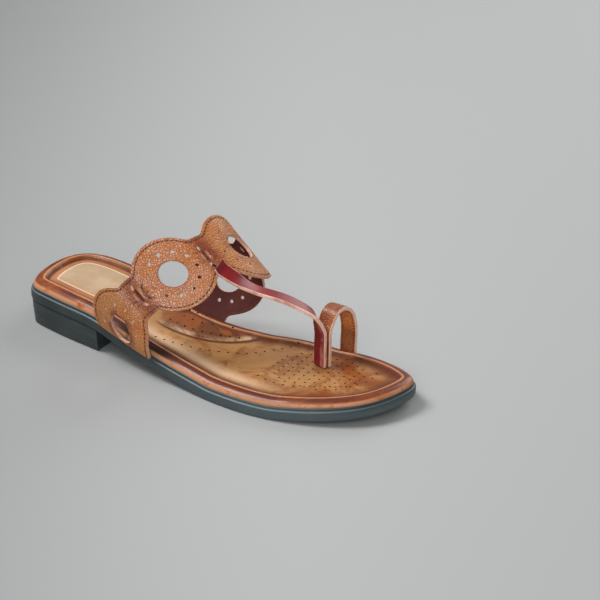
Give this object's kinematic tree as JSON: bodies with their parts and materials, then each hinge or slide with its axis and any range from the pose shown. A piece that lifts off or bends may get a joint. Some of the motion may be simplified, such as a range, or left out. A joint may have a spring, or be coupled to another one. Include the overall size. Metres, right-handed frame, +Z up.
{
  "type": "flat sandal",
  "caption": "Flat slip-on sandal, right foot: pierced leather band over the instep, centre strap and toe loop on a rimmed footbed with a low stacked heel.",
  "frame": {"origin": "middle of the heel's tread, on the floor", "axes": "+X towards the toe, +Y towards the big-toe side, +Z up"},
  "size_m": [0.2565, 0.088, 0.0897],
  "materials": {
    "black_rubber": "satin",
    "black_stack": "satin",
    "brown_leather": "gloss",
    "beige_suede": "matte",
    "tan_leather": "satin",
    "wine_leather": "gloss",
    "tan_loop_leather": "satin"
  },
  "bodies": {
    "root": {"outsole": "black_rubber", "heel": "black_stack", "footbed": "brown_leather", "heel_pad": "beige_suede", "vamp_band": "tan_leather", "t_strap": "wine_leather", "toe_loop": "tan_loop_leather"}
  },
  "joints": []
}
